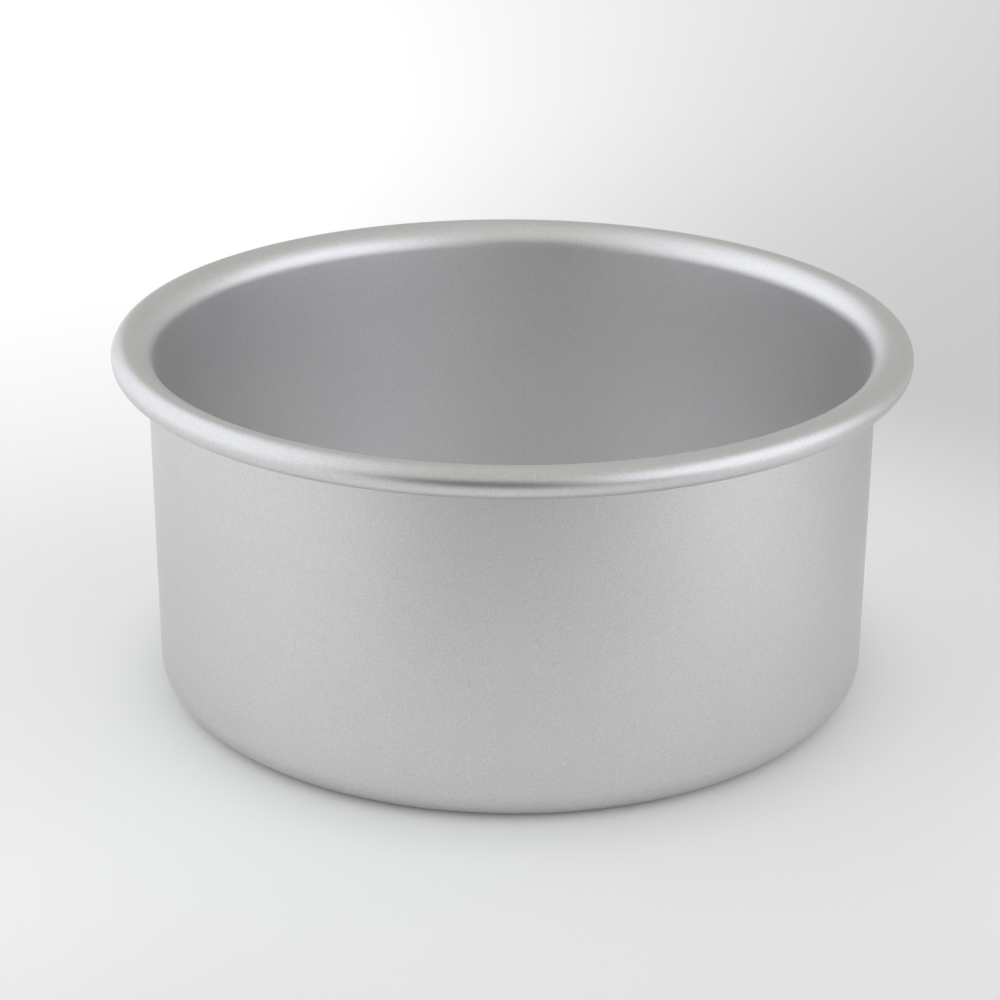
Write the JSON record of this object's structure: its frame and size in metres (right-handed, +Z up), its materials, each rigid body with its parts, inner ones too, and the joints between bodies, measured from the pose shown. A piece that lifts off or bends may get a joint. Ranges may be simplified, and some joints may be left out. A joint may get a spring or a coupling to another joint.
{
  "type": "round cake tin",
  "caption": "Deep round cake tin drawn in one piece from satin aluminium sheet, with a straight wall, a rounded base corner and a hollow curled rim.",
  "frame": {"origin": "middle of the underside of the base, on the surface that the tin stands on", "axes": "+Z up along the tin's axis, out of its mouth; X and Y lie in the base and are interchangeable, because the tin is round"},
  "size_m": [0.1698, 0.1698, 0.0774],
  "materials": {
    "satin_aluminium": "satin anodised, fine even grain, bare metal colour inside and out"
  },
  "bodies": {
    "root": {"tin_body": "satin_aluminium"}
  },
  "joints": []
}
